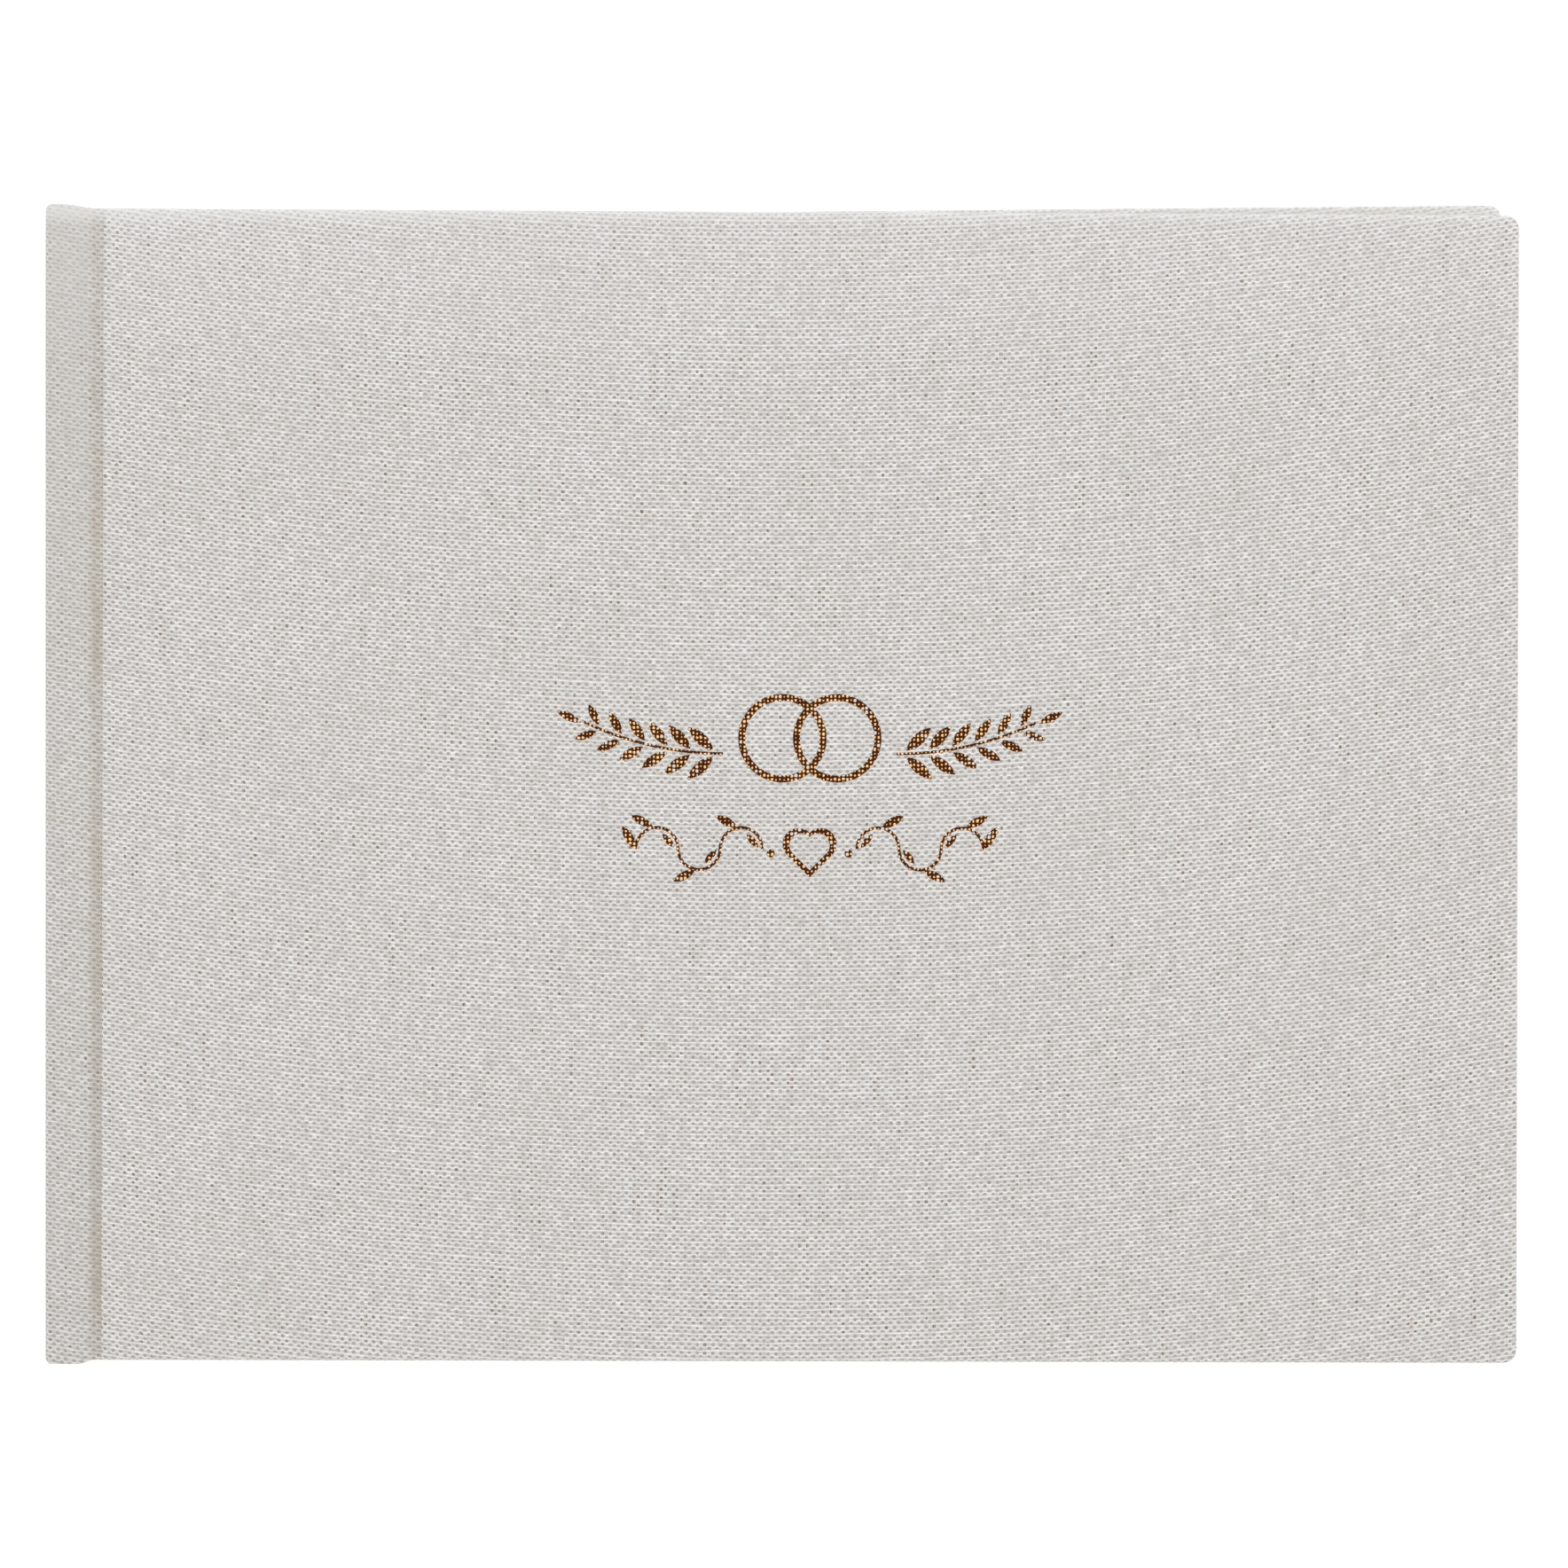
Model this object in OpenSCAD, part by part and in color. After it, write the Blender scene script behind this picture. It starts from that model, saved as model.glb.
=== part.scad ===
/*
  Linen-covered guest book, case bound, landscape.
  Lies closed on its back cover: +X runs from the spine to the fore-edge, +Y towards the head, +Z up.
  The origin is the centre of the book's footprint, on the surface that it lies on.
*/

/* [Cover] */
// Depth of the closed book from the spine's face to the fore-edge
book_w = 280; // [240:1:320]
// Height of each cover, head to tail
cover_h = 219; // [180:1:240]
// Thickness of the cover boards
board_t = 2.5; // [2:0.1:3.5]
// Thickness of the linen book cloth
cloth_t = 0.4; // [0.3:0.05:0.6]
// Width of the cloth turned in round the boards
turn_in = 15; // [10:1:20]
// Radius of the covers' outer corners
corner_r = 2.4; // [1:0.1:5]
// Distance from the spine's face to the cover boards
joint_w = 10.7; // [9.5:0.1:13]
// How far the front cover has racked round at its joint, in degrees
front_rack = 0.13; // [0:0.01:0.3]
// How far the back cover has racked round the other way, in degrees
back_rack = 0.5; // [0.3:0.01:0.5]
// How much lower the front board's head edge is at the fore-edge than at the joint
out_of_square = 0.8; // [0:0.1:1.5]

/* [Spine] */
// Thickness of the spine board
spine_board_t = 2.5; // [2:0.1:3]
// How far the spine stands past the covers at head and at tail
spine_proud = 0.7; // [0:0.1:1.5]
// Depth of the groove beside the cover board
groove_d = 1.3; // [1.1:0.1:2]

/* [Pages] */
// Thickness of one sewn section of eight leaves
section_t = 1.9; // [1.6:0.1:2.4]
// Thickness of one leaf
leaf_t = 0.22; // [0.15:0.01:0.3]
// How far the covers stand past the pages
square = 3; // [2.6:0.1:5]

/* [Ornament] */
// Outer radius of the two linked rings
ring_r = 8.4; // [6:0.1:12]
// Number of leaf pairs on each sprig
leaf_pairs = 6; // [4:1:7]
// Radius of each bend of the vine below the rings
bend_r = 4; // [3:0.1:5]

/* [Hidden] */
$fn = 64;
// Sewn sections in the block, and the leaves above them that turn with the front cover
sections = 7;
leaves = 6;

linen = "#d3d0cb";
greyboard = "#8f8b84";
ivory = "#f1ece0";
white_paper = "#f4f1ea";
kraft = "#b3906a";
copper = "#b87a45";

// The stack, from the outer face of a cover inwards
paste_t = 0.25;
cover_t = cloth_t + board_t + cloth_t;
shell_t = cover_t + paste_t;
air = 0.1;
leaf_pitch = leaf_t + 0.04;
section_pitch = section_t + 0.02;
book_t = 2 * (shell_t + air) + (leaves + 2) * leaf_pitch + sections * section_pitch;
front_in = book_t - shell_t;
hinge_top = front_in - air / 2;
leaves_top = front_in - air;
sections_top = leaves_top - (leaves + 1) * leaf_pitch;
block_bottom = shell_t + air;
block_t = leaves_top - block_bottom;

// Across the spine, measured from the spine's outer face
lining_t = 0.3;
mull_t = 0.25;
thread_d = 0.4;
hollow = 0.35;
lining_x = cloth_t + spine_board_t + hollow;
mull_x = lining_x + lining_t;
thread_x = mull_x + mull_t;
fold_x = thread_x + thread_d;

// Outlines
page_h = cover_h - 2 * square;
page_w = book_w - square - fold_x;
spine_h = cover_h + 2 * spine_proud;
board_w = book_w - joint_w;
spine_gap = 0.15;
reach = (board_w - corner_r) * cos(back_rack) + (cover_h / 2 - corner_r) * sin(back_rack) + corner_r;
spine_face = -(joint_w + reach) / 2;

// Slab that starts at x = 0, with two round corners on its fore-edge; its head edge falls by drop
module slab(w, h, r, t, drop = 0) {
    fall = drop * (w - r) / w;
    linear_extrude(t) {
        union() {
            polygon([[0, -h / 2], [w - r, -h / 2], [w, r - h / 2],
                     [w, h / 2 - fall - r], [w - r, h / 2 - fall], [0, h / 2]]);
            translate([w - r, r - h / 2]) circle(r);
            translate([w - r, h / 2 - fall - r]) circle(r);
        }
    }
}

// Puts a shape into the book's place, from x = 0 on the spine's face
module from_spine() {
    translate([spine_face, 0, 0]) children();
}

// Puts a cover's shape at its joint: its outer face is z = 0 and its joint edge is x = 0
module as_back_cover() {
    from_spine() translate([joint_w, 0, 0]) rotate(back_rack) children();
}

module as_front_cover() {
    from_spine() translate([joint_w, 0, book_t]) rotate(-front_rack) mirror([0, 0, 1]) children();
}

module cover_board(drop = 0) {
    color(greyboard) translate([cloth_t, 0, cloth_t])
        slab(board_w - 2 * cloth_t, cover_h - 2 * cloth_t, corner_r - cloth_t, board_t, drop);
}

// The cloth round one board, with its turn-ins on the inner face
module cover_cloth(drop = 0) {
    color(linen) difference() {
        slab(board_w, cover_h, corner_r, cover_t, drop);
        translate([cloth_t, 0, cloth_t])
            slab(board_w - 2 * cloth_t, cover_h - 2 * cloth_t, corner_r - cloth_t, board_t, drop);
        translate([cloth_t, turn_in - cover_h / 2, cloth_t + board_t / 2])
            cube([board_w - turn_in - cloth_t, cover_h - 2 * turn_in, cover_t]);
    }
}

// The glued-down half of an endpaper, filled out between the turn-ins
module pastedown() {
    fill_gap = 0.5;
    color(ivory) {
        translate([cloth_t, fill_gap + turn_in - cover_h / 2, cloth_t + board_t])
            cube([board_w - turn_in - cloth_t - fill_gap,
                  cover_h - 2 * (turn_in + fill_gap), cloth_t + paste_t]);
        translate([cloth_t, square - cover_h / 2, cover_t])
            cube([board_w - square - cloth_t, cover_h - 2 * square, paste_t]);
    }
}

// Outer line of the cloth over a joint, from the spine's edge down into the groove
function joint_line(inset) = [
    [cloth_t + spine_board_t, -0.2 - inset],
    [5.2, -0.15 - inset],
    [7.4, -0.25 - inset],
    [8.3, -0.5 - inset],
    [9, -0.9 - inset],
    [9.6, -groove_d - inset]
];

module joint_cloth() {
    outer = joint_line(0);
    inner = joint_line(cloth_t);
    color(linen) from_spine() translate([0, spine_h / 2, book_t]) rotate([90, 0, 0])
        linear_extrude(spine_h)
            polygon(concat(outer, [for (i = [len(inner) - 1 : -1 : 0]) inner[i]]));
}

// Mull and endpaper that carry the block across a joint
module joint_lining() {
    strip_t = 0.2;
    color(ivory) from_spine() translate([fold_x, -page_h / 2, front_in + air / 2])
        cube([joint_w - fold_x - 1, page_h, strip_t]);
}

// Turns what is made for the front cover's side of the spine over to the back cover's
module turned_over() {
    translate([0, 0, book_t]) mirror([0, 0, 1]) children();
}

module spine_board() {
    edge = spine_gap + cloth_t;
    color(greyboard) from_spine() translate([cloth_t, cloth_t - spine_h / 2, edge])
        cube([spine_board_t, spine_h - 2 * cloth_t, book_t - 2 * edge]);
}

// The cloth over the spine board, turned in at head and tail
module spine_cloth() {
    edge = spine_gap + cloth_t;
    color(linen) from_spine() difference() {
        translate([0, -spine_h / 2, spine_gap])
            cube([cloth_t + spine_board_t, spine_h, book_t - 2 * spine_gap]);
        translate([cloth_t, cloth_t - spine_h / 2, edge])
            cube([spine_board_t + 1, spine_h - 2 * cloth_t, book_t - 2 * edge]);
    }
}

// One sewn section, with its fold rounded at the spine; number 1 lies on top
module section(n) {
    top = sections_top - (n - 1) * section_pitch;
    fold_r = section_t / 2;
    color(white_paper) from_spine() translate([fold_x, page_h / 2, top - section_t]) rotate([90, 0, 0])
        linear_extrude(page_h) {
            union() {
                translate([fold_r, fold_r]) circle(fold_r);
                translate([fold_r, 0]) square([page_w - fold_r, section_t]);
            }
        }
}

// One loose leaf of the block, counted down from the flyleaf, which is 0
module leaf(n) {
    top = leaves_top - n * leaf_pitch;
    color(n == 0 ? ivory : white_paper) from_spine() translate([fold_x, -page_h / 2, top - leaf_t])
        cube([page_w, page_h, leaf_t]);
}

module back_flyleaf() {
    color(ivory) from_spine() translate([fold_x, -page_h / 2, block_bottom])
        cube([page_w, page_h, leaf_t]);
}

stations = [-96, -64, -44, -10, 10, 44, 64, 96];
tape_w = 12;

// Stitches that link the sections' folds down the spine
module sewing_thread() {
    run = sections * section_pitch - section_t;
    color(white_paper) from_spine()
        for (y = stations) translate([thread_x + thread_d / 2, y, sections_top - section_t / 2 - run])
            cylinder(h = run, d = thread_d);
}

module sewing_tapes() {
    color(linen) from_spine()
        for (y = [-54, 0, 54]) translate([thread_x, y - tape_w / 2, block_bottom + leaf_pitch])
            cube([thread_d, tape_w, sections * section_pitch]);
}

module spine_mull() {
    margin = 8;
    color(white_paper) from_spine() translate([mull_x, margin - page_h / 2, block_bottom + leaf_pitch])
        cube([mull_t, page_h - 2 * margin, sections * section_pitch]);
}

module spine_lining() {
    color(kraft) from_spine() translate([lining_x, 2 - page_h / 2, block_bottom + leaf_pitch])
        cube([lining_t, page_h - 4, sections * section_pitch]);
}

// Bead of cloth across the end of the spine, with its tongue glued to the folds
module end_band() {
    bead_r = 0.8;
    tongue = 6;
    run = sections * section_pitch - 1.2;
    color(linen) from_spine() translate([0, page_h / 2, sections_top - 0.6 - run]) {
        translate([mull_x + bead_r, bead_r, 0]) cylinder(h = run, r = bead_r);
        translate([mull_x, -tongue, 0]) cube([mull_t, tongue + bead_r, run]);
    }
}

// Pointed leaf shape, lying along +X from the origin
module almond(l, w) {
    r = (l * l + w * w) / (4 * w);
    translate([l / 2, 0]) intersection() {
        translate([0, w / 2 - r]) circle(r);
        translate([0, r - w / 2]) circle(r);
    }
}

// Stem and leaves to the right of the rings, rising along an arc
module sprig() {
    arc_r = 62;
    from = 16.5;
    step = 4.4;
    stem_w = 0.5;
    last = from + leaf_pairs * step;
    intersection() {
        difference() {
            translate([from, arc_r - 3.2]) circle(arc_r, $fn = 128);
            translate([from, arc_r - 3.2]) circle(arc_r - stem_w, $fn = 128);
        }
        translate([from, -6]) square([last - from, 12]);
    }
    for (i = [0 : leaf_pairs - 1]) {
        x = from + 1.2 + i * step;
        turn = asin((x - from) / arc_r);
        y = arc_r - 3.2 - arc_r * cos(turn);
        size = 6.4 - 0.4 * i;
        for (side = [-1, 1])
            translate([x, y + stem_w / 2]) rotate(turn + side * 42) translate([0.9, 0]) almond(size, size * 0.34);
    }
    tip = asin((last - from) / arc_r);
    translate([last + 0.6, arc_r - 3.0 - arc_r * cos(tip)]) rotate(tip) almond(5, 1.5);
}

module ring() {
    band = 1.3;
    difference() {
        circle(ring_r);
        circle(ring_r - band);
    }
}

// Heart with its point at the bottom, as wide as 1.7 times size
module heart(size) {
    translate([0, -0.2 * size]) rotate(45) {
        square(size, center = true);
        translate([0, size / 2]) circle(size / 2);
        translate([size / 2, 0]) circle(size / 2);
    }
}

// Half of a ring of the vine: the upper half, or the lower one
module bend(upper, stroke) {
    intersection() {
        difference() {
            circle(bend_r + stroke / 2);
            circle(bend_r - stroke / 2);
        }
        translate([-2 * bend_r, upper ? -0.01 : 0.01 - 2 * bend_r]) square([4 * bend_r, 2 * bend_r]);
    }
}

// Vine that runs to the right of the heart, with a leaf on each bend and one at its end
module vine() {
    stroke = 0.55;
    bends = 3;
    start = 9;
    for (i = [0 : bends - 1]) {
        up = i % 2 == 0;
        side = up ? 1 : -1;
        translate([start + bend_r * (1 + 2 * i), 0]) {
            bend(up, stroke);
            translate([0.2 * bend_r, side * (bend_r + 0.1)]) rotate(side * 28) almond(4.6, 1.6);
            translate([-0.2 * bend_r, side * (bend_r - 0.9)]) rotate(180 + side * 50) translate([0.4, 0]) almond(3.4, 1.2);
        }
    }
    translate([start + 2 * bend_r * bends - 0.1, -0.2]) rotate(58) almond(5.2, 1.7);
    translate([start - 1.6, -0.9]) circle(0.75);
}

// Foil stamped into the middle of the front cover: linked rings between sprigs, over a heart between vines
module foil_ornament() {
    foil_t = 0.06;
    rings_y = 9;
    vine_y = -12;
    color(copper) from_spine() translate([joint_w, 0, book_t]) rotate(-front_rack)
        translate([board_w / 2, 0, 0]) {
            for (side = [-1, 1]) translate([side * 0.62 * ring_r, rings_y, 0]) linear_extrude(foil_t) ring();
            translate([0, rings_y, 0]) linear_extrude(foil_t) sprig();
            translate([0, rings_y, 0]) mirror([1, 0, 0]) linear_extrude(foil_t) sprig();
            translate([0, vine_y, 0]) linear_extrude(foil_t) vine();
            translate([0, vine_y, 0]) mirror([1, 0, 0]) linear_extrude(foil_t) vine();
            translate([0, vine_y, 0]) linear_extrude(foil_t) difference() {
                heart(6);
                heart(4.5);
            }
        }
}

for (n = [1 : sections]) section(n);
for (n = [1 : leaves]) leaf(n);
leaf(0);  // front_flyleaf
back_flyleaf();
sewing_thread();
sewing_tapes();
spine_mull();
spine_lining();
end_band();  // head_band
mirror([0, 1, 0]) end_band();  // tail_band
spine_board();
spine_cloth();
as_front_cover() cover_board(out_of_square);  // front_board
as_front_cover() cover_cloth(out_of_square);  // front_cloth
as_front_cover() pastedown();  // front_pastedown
foil_ornament();
joint_cloth();  // front_joint_cloth
joint_lining();  // front_joint_lining
as_back_cover() cover_board();  // back_board
as_back_cover() cover_cloth();  // back_cloth
as_back_cover() pastedown();  // back_pastedown
turned_over() joint_cloth();  // back_joint_cloth
turned_over() joint_lining();  // back_joint_lining
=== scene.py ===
import math
import random
import bpy
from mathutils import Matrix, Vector


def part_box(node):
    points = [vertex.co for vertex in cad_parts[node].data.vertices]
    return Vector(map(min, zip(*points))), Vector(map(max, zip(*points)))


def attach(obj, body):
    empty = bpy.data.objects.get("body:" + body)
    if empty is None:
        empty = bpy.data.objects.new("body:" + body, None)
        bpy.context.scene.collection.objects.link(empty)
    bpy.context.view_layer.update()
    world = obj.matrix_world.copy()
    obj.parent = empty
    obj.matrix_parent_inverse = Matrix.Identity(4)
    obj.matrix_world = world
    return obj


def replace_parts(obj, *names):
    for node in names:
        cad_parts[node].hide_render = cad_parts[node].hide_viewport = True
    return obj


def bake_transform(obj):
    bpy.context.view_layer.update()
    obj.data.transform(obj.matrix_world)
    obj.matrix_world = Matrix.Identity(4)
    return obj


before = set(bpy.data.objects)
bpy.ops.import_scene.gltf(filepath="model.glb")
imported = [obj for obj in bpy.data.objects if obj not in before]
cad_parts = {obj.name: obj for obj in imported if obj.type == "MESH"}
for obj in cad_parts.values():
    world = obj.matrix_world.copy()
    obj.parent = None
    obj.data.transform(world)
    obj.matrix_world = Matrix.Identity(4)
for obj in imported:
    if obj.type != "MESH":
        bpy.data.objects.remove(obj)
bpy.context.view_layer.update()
scene = bpy.context.scene
mm = 0.001
random.seed(28)

# the book's main sizes, in metres, read off the frame
spineLow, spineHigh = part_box("spine_cloth")
bookLow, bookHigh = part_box("front_cloth")
pageLow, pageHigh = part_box("section_1")
spineFace = spineLow.x
bookTop = bookHigh.z
book = {
    "jointWidth": 10.7 * mm,      # spine's face to the boards
    "coverDepth": 269.3 * mm,
    "coverHeight": 219 * mm,
    "coverThick": 3.3 * mm,
    "frontRack": math.radians(0.13),   # the covers sit a little askew
    "backRack": math.radians(0.5),
    "outOfSquare": 0.8 * mm,           # how far the front board's head edge falls to the fore-edge
    "foldX": pageLow.x,
    "pageHalf": pageHigh.y,
}


# shader wiring: sockets that can be added, multiplied and blended like numbers

class Wire:
    def __init__(self, finish, socket):
        self.finish, self.socket = finish, socket

    def maths(self, operation, *others):
        return self.finish.node("ShaderNodeMath", {"operation": operation}, dict(enumerate((self, *others))))

    def __add__(self, other): return self.maths("ADD", other)
    def __radd__(self, other): return self.maths("ADD", other)
    def __mul__(self, other): return self.maths("MULTIPLY", other)
    def __rmul__(self, other): return self.maths("MULTIPLY", other)
    def __sub__(self, other): return self.maths("SUBTRACT", other)
    def __truediv__(self, other): return self.maths("DIVIDE", other)
    def __rsub__(self, other): return self.maths("MULTIPLY", -1.0) + other
    def __abs__(self): return self.maths("ABSOLUTE")

    def between(self, low, high):
        return self.finish.node("ShaderNodeMapRange", {"interpolation_type": "SMOOTHSTEP"},
                                {0: self, 1: low, 2: high})


class Finish:
    def __init__(self, name, **uniform):
        self.material = bpy.data.materials.new(name)
        self.material.use_nodes = True
        self.tree = self.material.node_tree
        self.shader = next(n for n in self.tree.nodes if n.type == "BSDF_PRINCIPLED")
        for socket, value in uniform.items():
            self.shader.inputs[socket].default_value = value

    def node(self, kind, settings=None, values=None, output=0):
        made = self.tree.nodes.new(kind)
        for key, value in (settings or {}).items():
            if key == "stops":
                ramp = made.color_ramp
                while len(ramp.elements) < len(value):
                    ramp.elements.new(0.5)
                for element, (place, colour) in zip(ramp.elements, value):
                    element.position, element.color = place, (*colour, 1)
            else:
                setattr(made, key, value)
        for key, value in (values or {}).items():
            if isinstance(value, Wire):
                self.tree.links.new(value.socket, made.inputs[key])
            else:
                made.inputs[key].default_value = value
        return Wire(self, made.outputs[output])

    def split(self, vector):
        made = self.tree.nodes.new("ShaderNodeSeparateXYZ")
        self.tree.links.new(vector.socket, made.inputs[0])
        return [Wire(self, out) for out in made.outputs]

    def join(self, x, y, z=0.0):
        return self.node("ShaderNodeCombineXYZ", {}, {0: x, 1: y, 2: z})

    def noise(self, vector, scale=1.0, detail=2.0, rough=0.5):
        return self.node("ShaderNodeTexNoise", {"noise_dimensions": "3D"},
                         {"Vector": vector, "Scale": scale, "Detail": detail, "Roughness": rough})

    def place(self):
        return self.split(self.node("ShaderNodeTexCoord", {}, {}, 3))

    def clothPlace(self):
        return self.split(self.node("ShaderNodeUVMap", {"uv_map": "weave"}))

    def blend(self, factor, first, second, kind="MIX"):
        return self.node("ShaderNodeMix", {"data_type": "RGBA", "blend_type": kind},
                         {0: factor, 6: first, 7: second}, 2)

    def ramp(self, value, stops):
        return self.node("ShaderNodeValToRGB", {"stops": stops}, {0: value})

    def plug(self, socket, value):
        self.tree.links.new(value.socket, self.shader.inputs[socket])

    def bump(self, height, distance, strength=1.0):
        self.plug("Normal", self.node("ShaderNodeBump", {},
                                      {"Height": height, "Distance": distance, "Strength": strength}))


# plain weave: pale weft rows run across the cover and bow down in the middle,
# and darker warp ends show as dots between them
weave = {
    "warpPitch": 0.75,       # mm
    "weftPitch": 0.79,
    "bow": 0.000625,         # rise of a weft row, mm per mm squared from the cover's middle
    "wander": 0.7,          # how far a thread strays, in pitches
}


def wovenThreads(f, x, y):
    rowDrift = f.noise(f.join(x / 6, y / 1.3), 1, 2, 0.6) - 0.5
    columnDrift = f.noise(f.join(x / 1.1, y / 8), 1, 2, 0.6) - 0.5
    u = x / weave["warpPitch"] + columnDrift * weave["wander"]
    v = (y - x * x * weave["bow"]) / weave["weftPitch"] + rowDrift * weave["wander"]
    across = (u * math.pi).maths("COSINE")
    along = ((v + across * 0.07) * math.pi).maths("COSINE")
    chance = f.node("ShaderNodeTexWhiteNoise", {"noise_dimensions": "2D"},
                    {"Vector": f.join(u.maths("ROUND"), v.maths("ROUND"))})
    # across the warp, along a row's middle, and which of the two is on top: warp -1, weft 1
    return across, abs(along), across * along.maths("SIGN"), chance


def linenFinish():
    f = Finish("linenBookCloth", Roughness=0.88)
    f.shader.inputs["Specular IOR Level"].default_value = 0.15
    f.shader.inputs["Sheen Weight"].default_value = 0.08
    x, y = (part * 1000 for part in f.clothPlace()[:2])
    _, rowBody, lean, chance = wovenThreads(f, x, y)
    weftStreak = f.noise(f.join(x / 2.2, y / 0.22), 1, 2, 0.6) - 0.5
    warpStreak = f.noise(f.join(x / 0.25, y / 4), 1, 2, 0.6) - 0.5
    pale = (1 - rowBody) * 0.55 + lean * 0.1 + weftStreak * 0.9 + warpStreak * 0.6
    pale = pale + (chance - 0.5) * 0.25 + 0.3
    weftColour = f.ramp(pale, [(0.0, (0.43, 0.41, 0.385)), (0.35, (0.56, 0.55, 0.53)),
                               (0.65, (0.70, 0.70, 0.69)), (1.0, (0.90, 0.90, 0.90))])
    # some warp ends are rawer and browner than others all the way down
    end = f.noise(f.join(x / 0.75, y / 22), 1, 2, 0.6).between(0.5, 0.72)
    brown = (chance * 0.45 + end * 0.8).between(0.3, 1.1)
    warpColour = f.blend(brown, (0.375, 0.335, 0.285, 1), (0.22, 0.14, 0.08, 1))
    dot = ((0.35 - lean) * rowBody).between(0.12, 1.0) * (chance * 0.35 + 0.65)
    base = f.blend(dot, weftColour, warpColour)
    cloud = f.noise(f.join(x / 38, y / 38), 1, 3, 0.55).between(0.35, 0.75)
    base = f.blend(cloud * 0.12, base, (0.48, 0.44, 0.395, 1))
    slub = f.noise(f.join(x / 5, y / 0.6), 1, 2, 0.6).between(0.62, 0.82)
    base = f.blend(slub * 0.35, base, (0.83, 0.825, 0.815, 1))
    # painted shade: the cloth in the joint's groove is darkened to a warm brown, where shade falls in the recess
    joint = x - spineFace / mm
    grooveShade = joint.between(7.8, 9.4) * (1 - joint.between(10.2, 10.9))
    base = f.blend(grooveShade * (cloud * 0.3 + 0.22), base, (0.42, 0.34, 0.26, 1))
    # the spine strip is made darker and warmer, more so towards the head
    spineTint = (1 - joint.between(7.6, 9.6)) * (y.between(0, 100) * 0.4 + 0.1) * (cloud * 0.4 + 0.8)
    base = f.blend(spineTint, base, (0.52, 0.49, 0.455, 1))
    base = f.blend((1 - joint.between(7.6, 9.6)) * 0.07, base, (0.22, 0.19, 0.16, 1))
    # painted light: the cloth is brighter towards the head, with a painted highlight along the head edge, as if lit
    # from the head side
    base = f.blend(y.between(70, 108) * 0.12 + y.between(105.5, 109) * 0.4, base, (0.78, 0.78, 0.775, 1))
    f.plug("Base Color", base)
    fibre = f.noise(f.join(x / 0.09, y / 0.09), 1, 2, 0.6)
    f.bump(rowBody * (lean * 0.35 + 0.65) + fibre * 0.15, 0.00013, 0.7)
    return f.material


def foilFinish():
    f = Finish("copperFoil")
    x, y = (part * 1000 for part in f.place()[:2])
    across, rowBody, _, chance = wovenThreads(f, x, y)
    crown = abs(across) * rowBody
    fleck = f.noise(f.join(x / 0.25, y / 0.25), 1, 2, 0.6)
    # painted reflection: the foil's colour runs from dark brown to bright gold over the thread crowns and flecks,
    # standing in for the glints and dark reflections of a real foil
    paintedGlint = (crown + (chance - 0.5) * 0.5 + (fleck - 0.5) * 0.9).between(0.42, 0.86)
    metal = f.ramp(paintedGlint, [(0.0, (0.055, 0.014, 0.003)), (0.3, (0.17, 0.05, 0.010)),
                           (0.65, (0.62, 0.27, 0.075)), (1.0, (0.93, 0.60, 0.28))])
    # here and there the foil missed a thread
    bare = (chance.between(0.86, 0.93) * crown.between(0.3, 0.6))
    f.plug("Base Color", f.blend(bare, metal, (0.66, 0.64, 0.60, 1)))
    f.plug("Metallic", (1 - bare) * 0.9)
    f.plug("Roughness", paintedGlint * -0.2 + 0.5)
    f.bump(crown + fleck * 0.3, 0.00012, 0.7)
    return f.material


def paperFinish(name, colour, tint, edge):
    f = Finish(name, Roughness=0.82)
    f.shader.inputs["Specular IOR Level"].default_value = 0.25
    x, y, z = f.place()
    fibre = f.noise(f.join(x * 2600, y * 900, z * 2600), 1, 3, 0.65)
    cloud = f.noise(f.join(x * 30, y * 30, z * 400), 1, 2, 0.5).between(0.3, 0.7)
    paper = f.blend(cloud * 0.35 + fibre * 0.3, colour, tint)
    # upright faces, the sheets' cut edges, take the darker edge colour, each sheet's edge a little different
    upright = abs(f.split(f.node("ShaderNodeNewGeometry", {}, {}, 3))[2])
    sheet = f.noise(f.join(x * 4, y * 4, z * 5200), 1, 1)
    cut = (1 - upright.between(0.3, 0.8)) * (sheet.between(0.3, 0.7) * 0.7 + 0.3)
    f.plug("Base Color", f.blend(cut, paper, edge))
    f.bump(fibre, 0.00003, 0.5)
    return f.material


def boardFinish():
    f = Finish("greyboard", Roughness=0.95)
    x, y, z = f.place()
    fleck = f.noise(f.join(x * 900, y * 900, z * 2500), 1, 4, 0.7)
    layer = f.noise(f.join(x * 12, y * 12, z * 2600), 1, 1)
    greys = [(0.25, (0.16, 0.145, 0.125)), (0.5, (0.27, 0.25, 0.22)), (0.8, (0.42, 0.39, 0.35))]
    f.plug("Base Color", f.ramp(fleck * 0.7 + layer * 0.3, greys))
    f.bump(fleck, 0.00015, 0.6)
    return f.material


def gauzeFinish(name, colour, shade, pitch):
    f = Finish(name, Roughness=0.9)
    _, y, z = f.place()
    rows = abs((z * (math.pi / pitch)).maths("COSINE"))
    columns = abs((y * (math.pi / pitch)).maths("COSINE"))
    mesh = rows.maths("MAXIMUM", columns).between(0.55, 0.95)
    f.plug("Base Color", f.blend(mesh, shade, colour))
    f.bump(mesh, 0.0001, 0.7)
    return f.material


def stripeFinish():
    f = Finish("headbandCotton", Roughness=0.7)
    x, y, z = f.place()
    stripe = (z * (math.pi / 0.0012)).maths("SINE").between(-0.15, 0.15)
    strand = f.noise(f.join(x * 1500, y * 1500, z * 7000), 1, 2, 0.6)
    f.plug("Base Color", f.blend(stripe, (0.78, 0.74, 0.66, 1), (0.50, 0.40, 0.29, 1)))
    f.bump(strand, 0.00008, 0.7)
    return f.material


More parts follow.
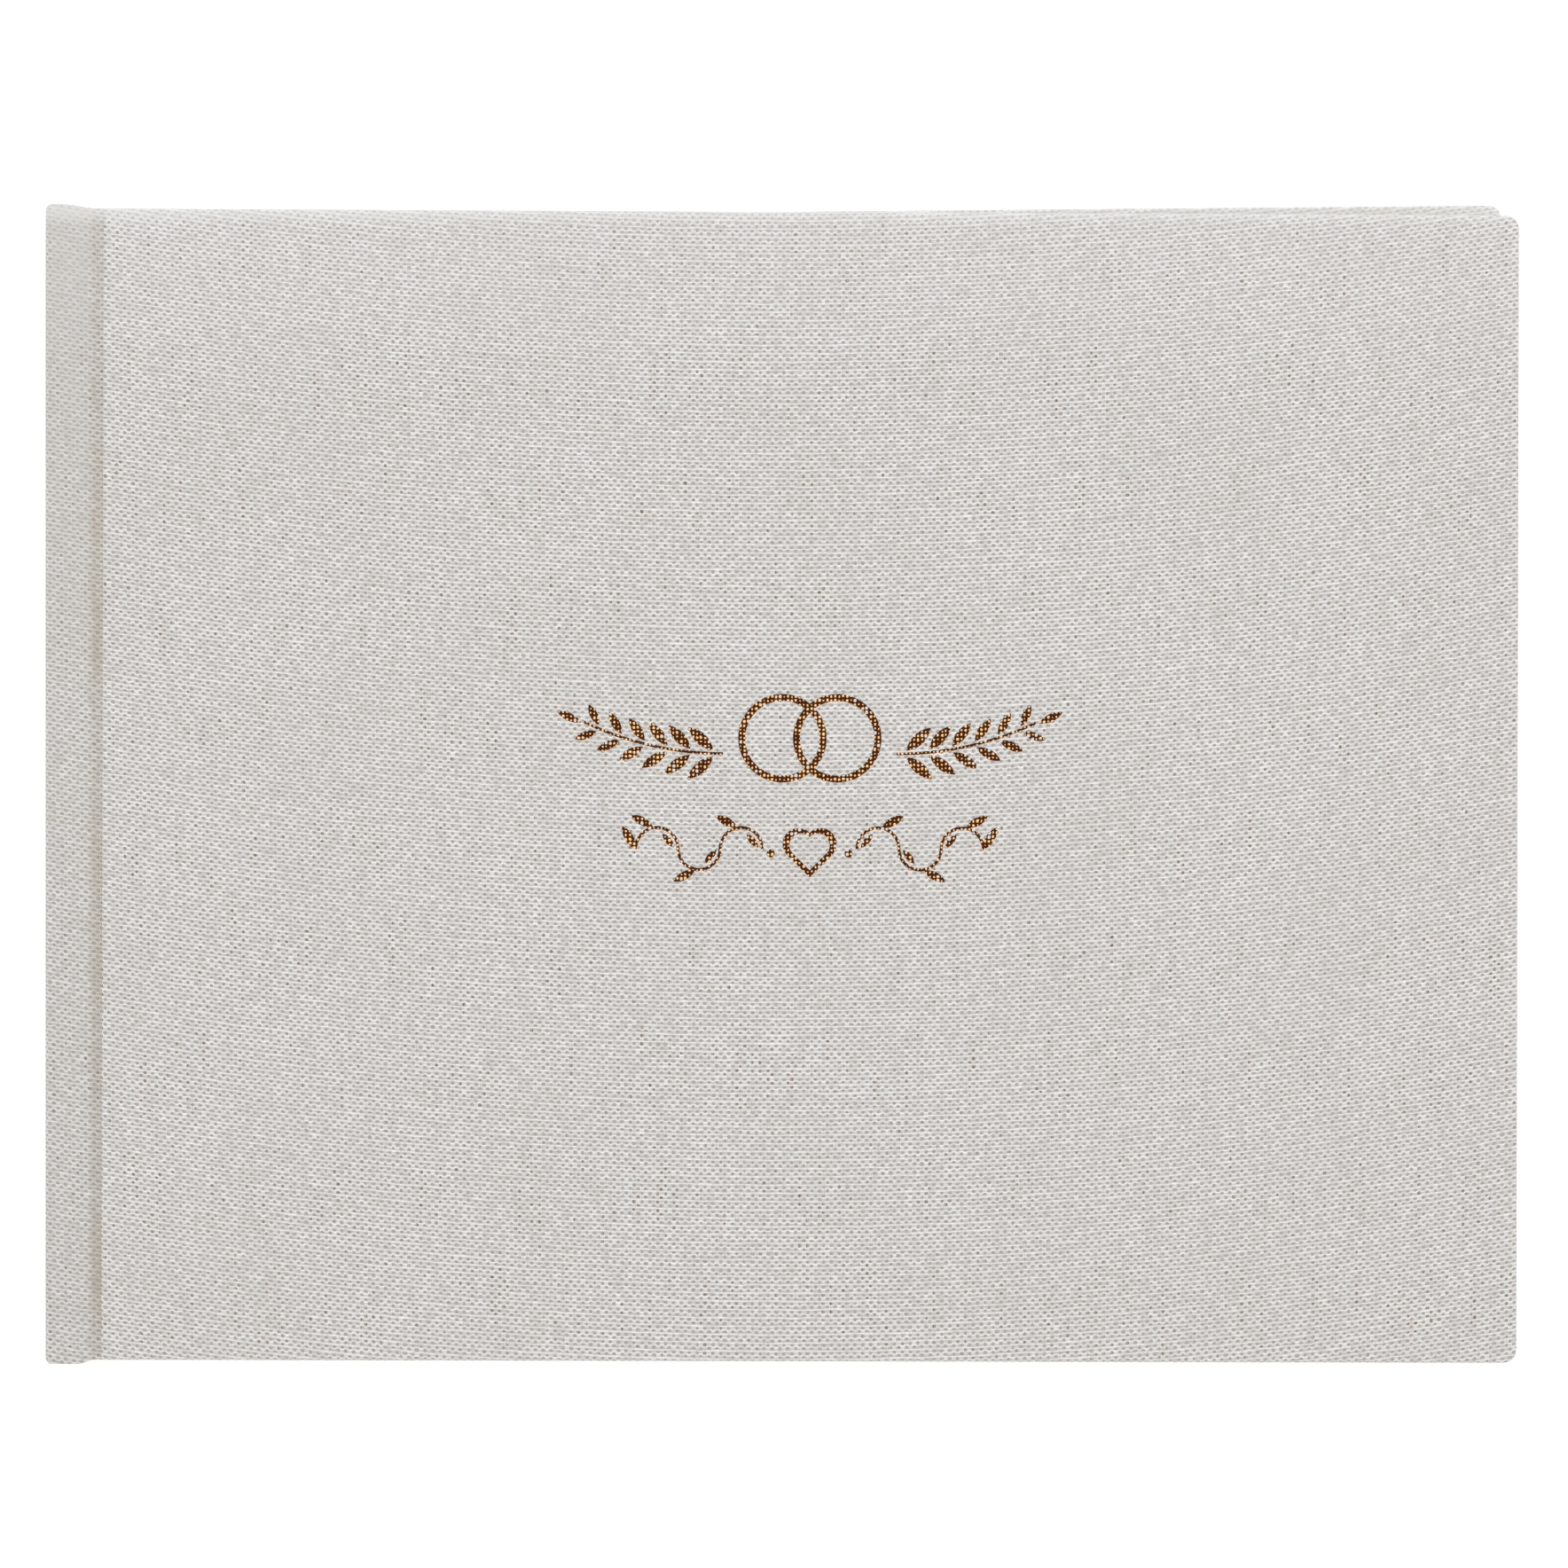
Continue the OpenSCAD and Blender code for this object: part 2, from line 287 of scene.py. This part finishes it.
linen = linenFinish()
foil = foilFinish()
pageStock = paperFinish("pageStock", (0.86, 0.84, 0.79, 1), (0.80, 0.77, 0.70, 1), (0.62, 0.58, 0.50, 1))
endpaper = paperFinish("ivoryEndpaper", (0.83, 0.79, 0.71, 1), (0.76, 0.71, 0.62, 1), (0.62, 0.57, 0.48, 1))
kraft = paperFinish("kraftLining", (0.42, 0.27, 0.14, 1), (0.33, 0.20, 0.10, 1), (0.30, 0.18, 0.09, 1))
greyboard = boardFinish()
mull = gauzeFinish("mullGauze", (0.80, 0.77, 0.70, 1), (0.50, 0.45, 0.38, 1), 0.0011)
tape = gauzeFinish("sewingTape", (0.76, 0.71, 0.62, 1), (0.60, 0.55, 0.46, 1), 0.0005)
thread = gauzeFinish("waxedThread", (0.80, 0.76, 0.68, 1), (0.60, 0.55, 0.47, 1), 0.0003)
cotton = stripeFinish()
print("finishes made")


# modelling helpers

def startAgain():
    if bpy.context.object and bpy.context.object.mode != "OBJECT":
        bpy.ops.object.mode_set(mode="OBJECT")
    bpy.ops.object.select_all(action="DESELECT")


def addBox(name, low, high):
    startAgain()
    low, high = Vector(low), Vector(high)
    bpy.ops.mesh.primitive_cube_add(size=1, location=(low + high) / 2, scale=high - low)
    bpy.ops.object.transform_apply(location=True, rotation=True, scale=True)
    made = bpy.context.object
    made.name = made.data.name = name
    return made


def editWhere(kind, test):
    # goes into edit mode with only the edges or faces that pass the test selected
    made = bpy.context.object
    if made.mode != "EDIT":
        bpy.ops.object.mode_set(mode="EDIT")
    bpy.ops.mesh.select_mode(type=kind)
    bpy.ops.mesh.select_all(action="DESELECT")
    bpy.ops.object.mode_set(mode="OBJECT")
    mesh = made.data
    for part in {"EDGE": mesh.edges, "FACE": mesh.polygons, "VERT": mesh.vertices}[kind]:
        if kind == "EDGE":
            part.select = test(*(mesh.vertices[i].co for i in part.vertices))
        elif kind == "FACE":
            part.select = test(part.center, part.normal)
        else:
            part.select = test(part.co)
    bpy.ops.object.mode_set(mode="EDIT")


def leaveEdit(made, smooth=40):
    bpy.ops.mesh.select_all(action="SELECT")
    bpy.ops.mesh.normals_make_consistent(inside=False)
    bpy.ops.object.mode_set(mode="OBJECT")
    bpy.ops.object.shade_smooth_by_angle(angle=math.radians(smooth))
    return made


def traceOutline(name, outline, yLow, yHigh):
    # draws a closed outline in the XZ plane, point by point, and pulls it out along Y
    startAgain()
    first = Vector((outline[0][0], yLow, outline[0][1]))
    bpy.ops.mesh.primitive_plane_add(size=0.001, location=first)
    bpy.ops.object.transform_apply(location=True, rotation=True, scale=True)
    made = bpy.context.object
    made.name = made.data.name = name
    bpy.ops.object.mode_set(mode="EDIT")
    bpy.ops.mesh.select_mode(type="VERT")
    bpy.ops.mesh.select_all(action="SELECT")
    bpy.ops.mesh.merge(type="CENTER")
    last = outline[0]
    for point in outline[1:]:
        step = (point[0] - last[0], 0, point[1] - last[1])
        bpy.ops.mesh.extrude_vertices_move(TRANSFORM_OT_translate={"value": step})
        last = point
    bpy.ops.mesh.select_all(action="SELECT")
    bpy.ops.mesh.edge_face_add()
    bpy.ops.mesh.extrude_region_move(TRANSFORM_OT_translate={"value": (0, yHigh - yLow, 0)})
    return made


def cutAcross(axis, places):
    # cuts the whole mesh at each place along an axis, so that it can bend there
    for place in places:
        point, normal = [0, 0, 0], [0, 0, 0]
        point[axis], normal[axis] = place, 1
        bpy.ops.mesh.select_all(action="SELECT")
        bpy.ops.mesh.bisect(plane_co=point, plane_no=normal)


def layCloth(made, top):
    # maps the weave on in metres, and carries it on over the edges
    layer = made.data.uv_layers.get("weave") or made.data.uv_layers.new(name="weave")
    for face in made.data.polygons:
        n = face.normal
        for loop in face.loop_indices:
            p = made.data.vertices[made.data.loops[loop].vertex_index].co
            drop = top - p.z
            if abs(n.z) >= max(abs(n.x), abs(n.y)):
                spot = (p.x, p.y)
            elif abs(n.y) > abs(n.x):
                spot = (p.x, p.y + math.copysign(drop, n.y))
            else:
                spot = (p.x + math.copysign(drop, n.x), p.y)
            layer.data[loop].uv = spot


def dress(made, material, body=None):
    made.data.materials.clear()
    made.data.materials.append(material)
    if body:
        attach(made, body)
    return made


def settle(made, front):
    # moves a cover's piece from its drawing place to its joint, on the front or on the back
    startAgain()
    made.select_set(True)
    bpy.context.view_layer.objects.active = made
    made.location = (spineFace + book["jointWidth"], 0, bookTop if front else 0)
    made.rotation_euler = (0, 0, -book["frontRack"] if front else book["backRack"])
    made.scale = (1, 1, -1 if front else 1)
    bpy.ops.object.transform_apply(location=True, rotation=True, scale=True)
    bpy.ops.object.mode_set(mode="EDIT")
    leaveEdit(made)
    return made


# covers

coverPlan = {
    "corner": 2.5 * mm,       # radius of the outer corners, cloth and all
    "edge": 0.8 * mm,         # how round the cloth lies over the board's edges
    "square": 3 * mm,         # cloth that shows round the pastedown
    "turnIn": 15 * mm,
    "paste": 0.25 * mm,
    "dip": 0.18 * mm,         # the pastedown sinks this far inside the turn-ins
    "pasteStart": 1.2 * mm,   # where it starts, from the joint
    "sink": 0.1 * mm,         # how far it reaches into the cloth under it
}


def coverCloth(name, front):
    depth, half = book["coverDepth"], book["coverHeight"] / 2
    made = addBox(name, (0, -half, 0), (depth, half, book["coverThick"]))
    upright = lambda a, b: abs(a.z - b.z) > 1 * mm
    if front:
        editWhere("VERT", lambda v: v.x > depth / 2 and v.y > 0)
        bpy.ops.transform.translate(value=(0, -book["outOfSquare"], 0))
    editWhere("EDGE", lambda a, b: upright(a, b) and a.x > depth / 2)
    bpy.ops.mesh.bevel(offset=coverPlan["corner"], segments=7)
    bpy.ops.mesh.select_all(action="DESELECT")
    bpy.ops.mesh.edges_select_sharp(sharpness=math.radians(60))
    bpy.ops.mesh.bevel(offset=coverPlan["edge"], segments=5)
    leaveEdit(made)
    settle(made, front)
    layCloth(made, bookTop if front else 0)
    return dress(made, linen, "front_cover" if front else "back_cover")


def pastedown(name, front):
    depth, half, thick = book["coverDepth"], book["coverHeight"] / 2, book["coverThick"]
    edge = coverPlan["square"]
    made = addBox(name, (coverPlan["pasteStart"], edge - half, thick - coverPlan["sink"]),
                  (depth - edge, half - edge, thick + coverPlan["paste"]))
    editWhere("FACE", lambda c, n: n.z > 0.9)
    bpy.ops.mesh.inset(thickness=coverPlan["turnIn"] - edge)
    editWhere("VERT", lambda v: v.z > thick and 2 * mm < v.x < 20 * mm)
    bpy.ops.transform.translate(value=(1.6 * mm - (coverPlan["turnIn"] - edge), 0, 0))
    editWhere("FACE", lambda c, n: n.z > 0.9 and abs(c.x - depth / 2) < 20 * mm and abs(c.y) < 5 * mm)
    bpy.ops.mesh.inset(thickness=0.7 * mm, depth=-coverPlan["dip"])
    leaveEdit(made)
    settle(made, front)
    return dress(made, endpaper, "front_cover" if front else "back_cover")


frontCloth = coverCloth("front_cover_cloth", True)
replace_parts(frontCloth, "front_cloth")
backCloth = coverCloth("back_cover_cloth", False)
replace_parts(backCloth, "back_cloth")
frontPaste = pastedown("front_endpaper", True)
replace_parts(frontPaste, "front_pastedown")
backPaste = pastedown("back_endpaper", False)
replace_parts(backPaste, "back_pastedown")
print("covers made")


# spine and joints

# outer line of the cloth over the joint: mm from the spine's face, and down from the cover's level
jointLine = [(1.0, 0.02), (2.0, 0.0), (3.2, 0.0), (4.4, 0.03), (5.6, 0.08), (6.6, 0.15), (7.4, 0.25),
             (8.0, 0.4), (8.5, 0.6), (8.9, 0.82), (9.25, 1.02), (9.6, 1.17), (9.95, 1.24), (10.3, 1.2), (10.65, 1.05),
             (10.95, 0.9), (11.3, 0.88)]
spinePlan = {
    "cloth": 0.4,
    "boardBack": 2.9,     # the spine piece's inner face, mm from the outer one
    "edge": 1.0,          # roundness along the spine's long edges
    "corner": 1.3,        # roundness of its four corners, looking down on them
    "proud": 110.25,      # half its height where it stands past the covers
    "drawn": 110,         # half the height it is drawn at before its ends are shaped
    "step": 0.75,         # how far the ends come in towards the covers
    "headSlope": (3.4, 6),      # where that starts and how far it takes, at the head
    "tailSlope": (6.0, 3.6),
    "cornerCuts": (0.35, 0.75, 1.35),
    "endRound": 0.15,
    "leanStart": 7.5,     # from here the cloth leans with the cover, fully so after leanReach
    "leanReach": 2,
}


spineHalf = spinePlan["drawn"] * mm


def spineEnd(x, head):
    # half the height at x mm from the spine's face: it slopes in at the head and steps in at the tail
    corner = spinePlan["corner"]
    if x < corner:
        return spinePlan["proud"] - corner + math.sqrt(max(0, corner ** 2 - (corner - x) ** 2))
    start, reach = spinePlan["headSlope"] if head else spinePlan["tailSlope"]
    slope = min(1, max(0, (x - start) / reach))
    return spinePlan["proud"] - spinePlan["step"] * slope * slope * (3 - 2 * slope)


def finishEnds(made, rack):
    # cuts the ends across at each point of the profile so that they bend with it, rounds them over,
    # then draws them in at the corners and leans the joint's far edge to lie along the board
    cuts = [spineFace + x * mm for x in (*spinePlan["cornerCuts"], *(x for x, _ in jointLine if 3 < x < 11))]
    cutAcross(0, cuts)
    isCut = lambda a, b: abs(a.x - b.x) < 1e-6 and min(abs(a.x - cut) for cut in cuts) < 1e-5
    editWhere("EDGE", lambda a, b: a.y * b.y > 0 and not isCut(a, b))
    bpy.ops.mesh.bevel(offset=spinePlan["endRound"] * mm, segments=2)
    bpy.ops.object.mode_set(mode="OBJECT")
    for vertex in made.data.vertices:
        x = (vertex.co.x - spineFace) / mm
        head = vertex.co.y > 0
        vertex.co.y += (spineEnd(x, head) - spinePlan["drawn"]) * mm * (1 if head else -1)
        lean = min(1, max(0, (x - spinePlan["leanStart"]) / spinePlan["leanReach"]))
        vertex.co.x += vertex.co.y * math.tan(rack) * lean
    bpy.ops.object.mode_set(mode="EDIT")
    leaveEdit(made, 50)


def place(points, top, side):
    return [(spineFace + x * mm, top - side * z * mm) for x, z in points]


def arc(cx, cz, radius, start, end, steps):
    turns = [math.radians(start + (end - start) * i / steps) for i in range(steps + 1)]
    return [(cx + radius * math.cos(turn), cz - radius * math.sin(turn)) for turn in turns]


def spineCloth():
    height = (spineHigh.z - spineLow.z) / mm + 0.1
    edge, cloth, back = spinePlan["edge"], spinePlan["cloth"], spinePlan["boardBack"]
    outer = [(back, height), *arc(edge, height - edge, edge, 270, 180, 6),
             *arc(edge, edge, edge, 180, 90, 6)[:-1], *jointLine]
    inner = [(x, z + cloth) for x, z in reversed(jointLine) if x > back + 0.6] + [(back, cloth)]
    top = bookTop - 0.02 * mm
    made = traceOutline("spine_and_front_joint_cloth", place(outer + inner, top, 1), -spineHalf, spineHalf)
    finishEnds(made, book["frontRack"])
    layCloth(made, bookTop)
    return dress(made, linen)


def backJoint():
    cloth = spinePlan["cloth"]
    outer = [(x, z + 0.05) for x, z in jointLine if x > 2.9]
    inner = [(x, z + cloth) for x, z in reversed(outer)]
    made = traceOutline("back_joint_cloth_sheet", place(outer + inner, 0, -1), -spineHalf, spineHalf)
    finishEnds(made, -book["backRack"])
    layCloth(made, 0)
    return dress(made, linen)


spine = spineCloth()
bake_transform(spine)
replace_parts(spine, "spine_cloth", "front_joint_cloth")
backJointCloth = backJoint()
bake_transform(backJointCloth)
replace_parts(backJointCloth, "back_joint_cloth")


liningPlan = {
    "thick": 0.16 * mm,
    "atBlock": 3.58 * mm,     # depth under the cover's level, at the block and at the board
    "atBoard": 3.5 * mm,
    "spacing": 0.7 * mm,      # between the places where it can bend
    "places": 14,
    "fold": (1.2 * mm, 9 * mm),
}


def jointLining(name, front):
    # endpaper that runs from the block's fold to the board
    depths = liningPlan["atBlock"], liningPlan["atBoard"]
    zBlock, zBoard = (bookTop - depth for depth in depths) if front else depths
    side = 1 if front else -1
    xs = [book["foldX"] + 0.1 * mm + i * liningPlan["spacing"] for i in range(liningPlan["places"])]
    line = [(x, zBlock + (zBoard - zBlock) * min(1, i / 9)) for i, x in enumerate(xs)]
    far = [(x, z + side * liningPlan["thick"]) for x, z in reversed(line)]
    made = traceOutline(name, line + far, -book["pageHalf"], book["pageHalf"])
    cutAcross(0, xs[1:-1])
    leaveEdit(made, 60)
    dress(made, endpaper)
    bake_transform(made)
    return made


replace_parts(jointLining("front_hinge_endpaper", True), "front_joint_lining")
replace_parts(jointLining("back_hinge_endpaper", False), "back_joint_lining")
print("spine and joints made")


# pages

pagePlan = {
    "sheets": 4,              # folded sheets in a section
    "paper": 0.218 * mm,
    "pitch": 0.2375 * mm,
    "creep": 0.07 * mm,       # how unevenly the leaves end
}


def foldedSection(name, low, high):
    middle, radius = (low.z + high.z) / 2, (high.z - low.z) / 2
    parts = []
    for sheet in range(pagePlan["sheets"]):
        outer = radius - sheet * pagePlan["pitch"]
        inner = outer - pagePlan["paper"]
        back = low.x + radius
        ends = [high.x - random.uniform(0, pagePlan["creep"]) for _ in range(2)]
        turn = [math.radians(90 + 180 * i / 6) for i in range(7)]
        line = [(ends[0], middle + outer)]
        line += [(back + outer * math.cos(a), middle + outer * math.sin(a)) for a in turn]
        line += [(ends[1], middle - outer), (ends[1], middle - inner)]
        line += [(back + inner * math.cos(a), middle + inner * math.sin(a)) for a in reversed(turn)]
        line += [(ends[0], middle + inner)]
        trim = [random.uniform(0, pagePlan["creep"]) for _ in range(2)]
        made = traceOutline(name, line, low.y + trim[0], high.y - trim[1])
        leaveEdit(made, 35)
        parts.append(made)
    startAgain()
    for part in parts:
        part.select_set(True)
    bpy.context.view_layer.objects.active = parts[0]
    bpy.ops.object.join()
    joined = bpy.context.object
    joined.name = joined.data.name = name
    return dress(joined, pageStock, "text_block")


for number in range(1, 8):
    low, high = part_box(f"section_{number}")
    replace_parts(foldedSection(f"folded_section_{number}", low, high), f"section_{number}")

leafPlan = {
    "turnedReach": 15 * mm,   # how far from its fold a turned leaf goes on curving
    "liftedReach": 42 * mm,
    "cuts": 20,
}


def bentLeaf(name, node, reach, material):
    low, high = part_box(node)
    made = addBox(name, low, high)
    bpy.ops.object.mode_set(mode="EDIT")
    cutAcross(0, [low.x + reach * (i + 1) / leafPlan["cuts"] for i in range(leafPlan["cuts"])])
    leaveEdit(made, 30)
    dress(made, material)
    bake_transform(made)
    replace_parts(made, node)
    return made


bentLeaf("front_flyleaf_sheet", "front_flyleaf",
         leafPlan["turnedReach"], endpaper)
for number in range(1, 7):
    reach = leafPlan["turnedReach"] if number < 4 else leafPlan["liftedReach"]
    bentLeaf(f"leaf_{number}_sheet", f"leaf_{number}", reach, pageStock)
print("pages made")


# head and tail bands

bandPlan = {
    "radius": 0.8 * mm,
    "wrap": 0.6 * mm,         # one turn of thread
    "sides": 14,
    "round": 0.16 * mm,
    "tongue": 6.5 * mm,       # the band's cloth, glued to the spine
    "tongueThick": 0.25 * mm,
}


def endBand(name, node):
    low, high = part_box(node)
    y = high.y - bandPlan["radius"] if high.y > 0 else low.y + bandPlan["radius"]
    startAgain()
    middle = (low.x + bandPlan["radius"], y, low.z + bandPlan["wrap"] / 2)
    bpy.ops.mesh.primitive_cylinder_add(vertices=bandPlan["sides"], radius=bandPlan["radius"],
                                        depth=bandPlan["wrap"], location=middle)
    bpy.ops.object.transform_apply(location=True, rotation=True, scale=True)
    made = bpy.context.object
    made.name = made.data.name = name
    editWhere("EDGE", lambda a, b: abs(a.z - b.z) < 1e-6)
    bpy.ops.mesh.bevel(offset=bandPlan["round"], segments=2)
    bpy.ops.object.mode_set(mode="OBJECT")
    row = made.modifiers.new("row", "ARRAY")
    row.count = int((high.z - low.z) / bandPlan["wrap"])
    row.use_relative_offset = False
    row.use_constant_offset = True
    row.constant_offset_displace = (0, 0, bandPlan["wrap"])
    bpy.ops.object.modifier_apply(modifier="row")
    inner = y - math.copysign(bandPlan["tongue"], y)
    tongue = addBox(name + "_tongue", (low.x, min(y, inner), low.z),
                    (low.x + bandPlan["tongueThick"], max(y, inner), high.z))
    startAgain()
    made.select_set(True)
    tongue.select_set(True)
    bpy.context.view_layer.objects.active = made
    bpy.ops.object.join()
    bpy.ops.object.shade_smooth_by_angle(angle=math.radians(50))
    dress(made, cotton, "text_block")
    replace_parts(made, node)


endBand("head_band_bead", "head_band")
endBand("tail_band_bead", "tail_band")

# pieces that keep their drawn shape
keptFinish = {
    "front_board": greyboard, "back_board": greyboard, "spine_board": greyboard, "back_flyleaf": endpaper,
    "spine_lining": kraft, "spine_mull": mull, "sewing_tapes": tape, "sewing_thread": thread,
    "foil_ornament": foil,
}
for node, material in keptFinish.items():
    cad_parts[node].data.materials.clear()
    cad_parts[node].data.materials.append(material)
print("bands and kept pieces finished")


# floor, light and camera

studio = {
    "floor": (0.9, 0.9, 0.9, 1),
    "glow": 0.3,            # the table is lit from inside
    "sky": 0.98,
    "softbox": 4.0,         # watts
    "softboxSize": 1.1,
    "cameraHeight": 1.2,
    "frameWidth": 0.298,   # what the camera sees at the cover's level
}

startAgain()
bpy.ops.mesh.primitive_plane_add(size=6, location=(0, 0, -0.2 * mm))
floor = bpy.context.object
floor.name = "floor"
paint = Finish("paleFloor", Roughness=0.9)
paint.shader.inputs["Base Color"].default_value = studio["floor"]
paint.shader.inputs["Emission Color"].default_value = (1, 1, 1, 1)
paint.shader.inputs["Emission Strength"].default_value = studio["glow"]
floor.data.materials.append(paint.material)

world = bpy.data.worlds.new("studio")
scene.world = world
world.use_nodes = True
world.node_tree.nodes["Background"].inputs[0].default_value = (1, 1, 1, 1)
world.node_tree.nodes["Background"].inputs[1].default_value = studio["sky"]

lamp = bpy.data.lights.new("softbox", "AREA")
lamp.energy = studio["softbox"]
lamp.size = studio["softboxSize"]
softbox = bpy.data.objects.new("softbox", lamp)
softbox.location = (0.15, 0.9, 1.3)
softbox.rotation_euler = (Vector((0, 0, 0)) - softbox.location).to_track_quat("-Z", "Y").to_euler()
scene.collection.objects.link(softbox)

eye = bpy.data.cameras.new("camera")
eye.sensor_width = 36
eye.lens = 36 * studio["cameraHeight"] / studio["frameWidth"]
eye.clip_start = 0.01
camera = bpy.data.objects.new("camera", eye)
camera.location = (0, 0, bookTop + studio["cameraHeight"])
scene.collection.objects.link(camera)
scene.camera = camera
scene.view_settings.view_transform = "Standard"
print("studio set")
